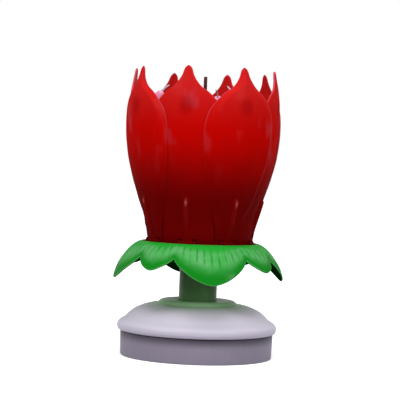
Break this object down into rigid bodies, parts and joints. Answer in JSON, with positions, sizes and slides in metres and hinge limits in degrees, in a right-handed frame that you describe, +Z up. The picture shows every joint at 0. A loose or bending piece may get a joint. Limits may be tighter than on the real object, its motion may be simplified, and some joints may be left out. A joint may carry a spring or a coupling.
{
  "type": "musical birthday candle",
  "caption": "Closed flower bud on a round battery base: hinged red petals with small candles around a firework tube, a green calyx, and a motor that turns the flower.",
  "frame": {"origin": "centre of the base's underside, on the axis of the flower", "axes": "+Z up along the axis of the flower, -Y towards the front of the picture, +X to its right"},
  "size_m": [0.0848, 0.0848, 0.143],
  "materials": {
    "drum_plastic": "satin grey-violet moulding",
    "lid_plastic": "satin pale lavender moulding",
    "red_plastic": "glossy red, slightly translucent",
    "green_plastic": "glossy green",
    "wax": "pink wax",
    "wick_cotton": "waxed cotton",
    "steel": "plated",
    "brass": "plain",
    "white_plastic": "natural acetal",
    "dark_plastic": "matt black",
    "circuit_board": "solder mask",
    "cell_wrap": "plain wrap",
    "tube_paper": "rolled paper",
    "charge": "pressed powder",
    "fuse_paper": "dark maroon paper"
  },
  "bodies": {
    "base": {"base_drum": "drum_plastic", "base_lid": "lid_plastic", "neck_tube": "lid_plastic", "base_screw_1": "steel", "base_screw_2": "steel", "base_screw_3": "steel", "aa_cell": "cell_wrap", "contact_plate": "steel", "contact_spring": "steel", "motor_can": "steel", "motor_end_cap": "dark_plastic", "gearbox_plate": "white_plastic", "gear_axle": "steel", "spindle_bush": "white_plastic", "music_board": "circuit_board", "sound_chip": "dark_plastic", "piezo_disc": "brass", "switch_block": "dark_plastic", "switch_contact": "brass"},
    "door": {"battery_door": "drum_plastic"},
    "leaf": {"switch_leaf": "brass"},
    "pinion": {"motor_pinion": "brass"},
    "compound": {"compound_gear": "white_plastic"},
    "flower": {"spindle": "white_plastic", "output_gear": "white_plastic", "petal_hub": "red_plastic", "calyx": "green_plastic", "fountain_tube": "tube_paper", "fountain_charge": "charge", "fuse": "fuse_paper", "opening_spring": "steel"},
    "pusher": {"pusher_ring": "white_plastic", "trigger_pin": "steel", "trigger_rod": "steel"},
    "petal_1_body": {"petal_1": "red_plastic", "candle_1": "wax", "wick_1": "wick_cotton"},
    "petal_2_body": {"petal_2": "red_plastic", "candle_2": "wax", "wick_2": "wick_cotton"},
    "petal_3_body": {"petal_3": "red_plastic", "candle_3": "wax", "wick_3": "wick_cotton"},
    "petal_4_body": {"petal_4": "red_plastic", "candle_4": "wax", "wick_4": "wick_cotton"},
    "petal_5_body": {"petal_5": "red_plastic", "candle_5": "wax", "wick_5": "wick_cotton"},
    "petal_6_body": {"petal_6": "red_plastic", "candle_6": "wax", "wick_6": "wick_cotton"},
    "petal_7_body": {"petal_7": "red_plastic", "candle_7": "wax", "wick_7": "wick_cotton"},
    "petal_8_body": {"petal_8": "red_plastic", "candle_8": "wax", "wick_8": "wick_cotton"}
  },
  "joints": [
    {"name": "flower_turn", "type": "hinge", "parent": "base", "child": "flower", "pos_m": [0, 0, 0.05], "axis": [0, 0, 1], "continuous": true},
    {"name": "compound_spin", "type": "hinge", "parent": "base", "child": "compound", "pos_m": [-0.01394, 0.00805, 0.018], "axis": [0, 0, 1], "continuous": true},
    {"name": "pinion_spin", "type": "hinge", "parent": "base", "child": "pinion", "pos_m": [-0.00239, 0.01596, 0.018], "axis": [0, 0, 1], "continuous": true},
    {"name": "door_hinge", "type": "hinge", "parent": "base", "child": "door", "pos_m": [0, -0.00975, 0.0018], "axis": [1, 0, 0], "range_deg": [0, 90]},
    {"name": "leaf_bend", "type": "hinge", "parent": "base", "child": "leaf", "pos_m": [0.0095, 0, 0.011], "axis": [0, 1, 0], "range_deg": [0, 12.1]},
    {"name": "pusher_lift", "type": "slide", "parent": "flower", "child": "pusher", "axis": [0, 0, 1], "range_m": [0, 0.0051], "deforming": ["opening_spring"]},
    {"name": "petal_1_hinge", "type": "hinge", "parent": "flower", "child": "petal_1_body", "pos_m": [-0.02187, -0.0133, 0.0576], "axis": [0.5195, -0.8545, 0], "range_deg": [0, 62]},
    {"name": "petal_2_hinge", "type": "hinge", "parent": "flower", "child": "petal_2_body", "pos_m": [-0.00606, -0.02487, 0.0576], "axis": [0.9715, -0.2368, 0], "range_deg": [0, 62]},
    {"name": "petal_3_hinge", "type": "hinge", "parent": "flower", "child": "petal_3_body", "pos_m": [0.0133, -0.02187, 0.0576], "axis": [0.8545, 0.5195, 0], "range_deg": [0, 62]},
    {"name": "petal_4_hinge", "type": "hinge", "parent": "flower", "child": "petal_4_body", "pos_m": [0.02487, -0.00606, 0.0576], "axis": [0.2368, 0.9715, 0], "range_deg": [0, 62]},
    {"name": "petal_5_hinge", "type": "hinge", "parent": "flower", "child": "petal_5_body", "pos_m": [0.02187, 0.0133, 0.0576], "axis": [-0.5195, 0.8545, 0], "range_deg": [0, 62]},
    {"name": "petal_6_hinge", "type": "hinge", "parent": "flower", "child": "petal_6_body", "pos_m": [0.00606, 0.02487, 0.0576], "axis": [-0.9715, 0.2368, 0], "range_deg": [0, 62]},
    {"name": "petal_7_hinge", "type": "hinge", "parent": "flower", "child": "petal_7_body", "pos_m": [-0.0133, 0.02187, 0.0576], "axis": [-0.8545, -0.5195, 0], "range_deg": [0, 62]},
    {"name": "petal_8_hinge", "type": "hinge", "parent": "flower", "child": "petal_8_body", "pos_m": [-0.02487, 0.00606, 0.0576], "axis": [-0.2368, -0.9715, 0], "range_deg": [0, 62]}
  ],
  "couplings": [
    {"joint": "compound_spin", "follows": "flower_turn", "ratio": -3.6},
    {"joint": "pinion_spin", "follows": "flower_turn", "ratio": 10.8},
    {"joint": "petal_2_hinge", "follows": "petal_1_hinge", "ratio": 1},
    {"joint": "petal_3_hinge", "follows": "petal_1_hinge", "ratio": 1},
    {"joint": "petal_4_hinge", "follows": "petal_1_hinge", "ratio": 1},
    {"joint": "petal_5_hinge", "follows": "petal_1_hinge", "ratio": 1},
    {"joint": "petal_6_hinge", "follows": "petal_1_hinge", "ratio": 1},
    {"joint": "petal_7_hinge", "follows": "petal_1_hinge", "ratio": 1},
    {"joint": "petal_8_hinge", "follows": "petal_1_hinge", "ratio": 1},
    {"joint": "pusher_lift", "follows": "petal_1_hinge", "m_per_rad": 0.0047},
    {"joint": "leaf_bend", "follows": "petal_1_hinge", "ratio": 0.1935}
  ]
}
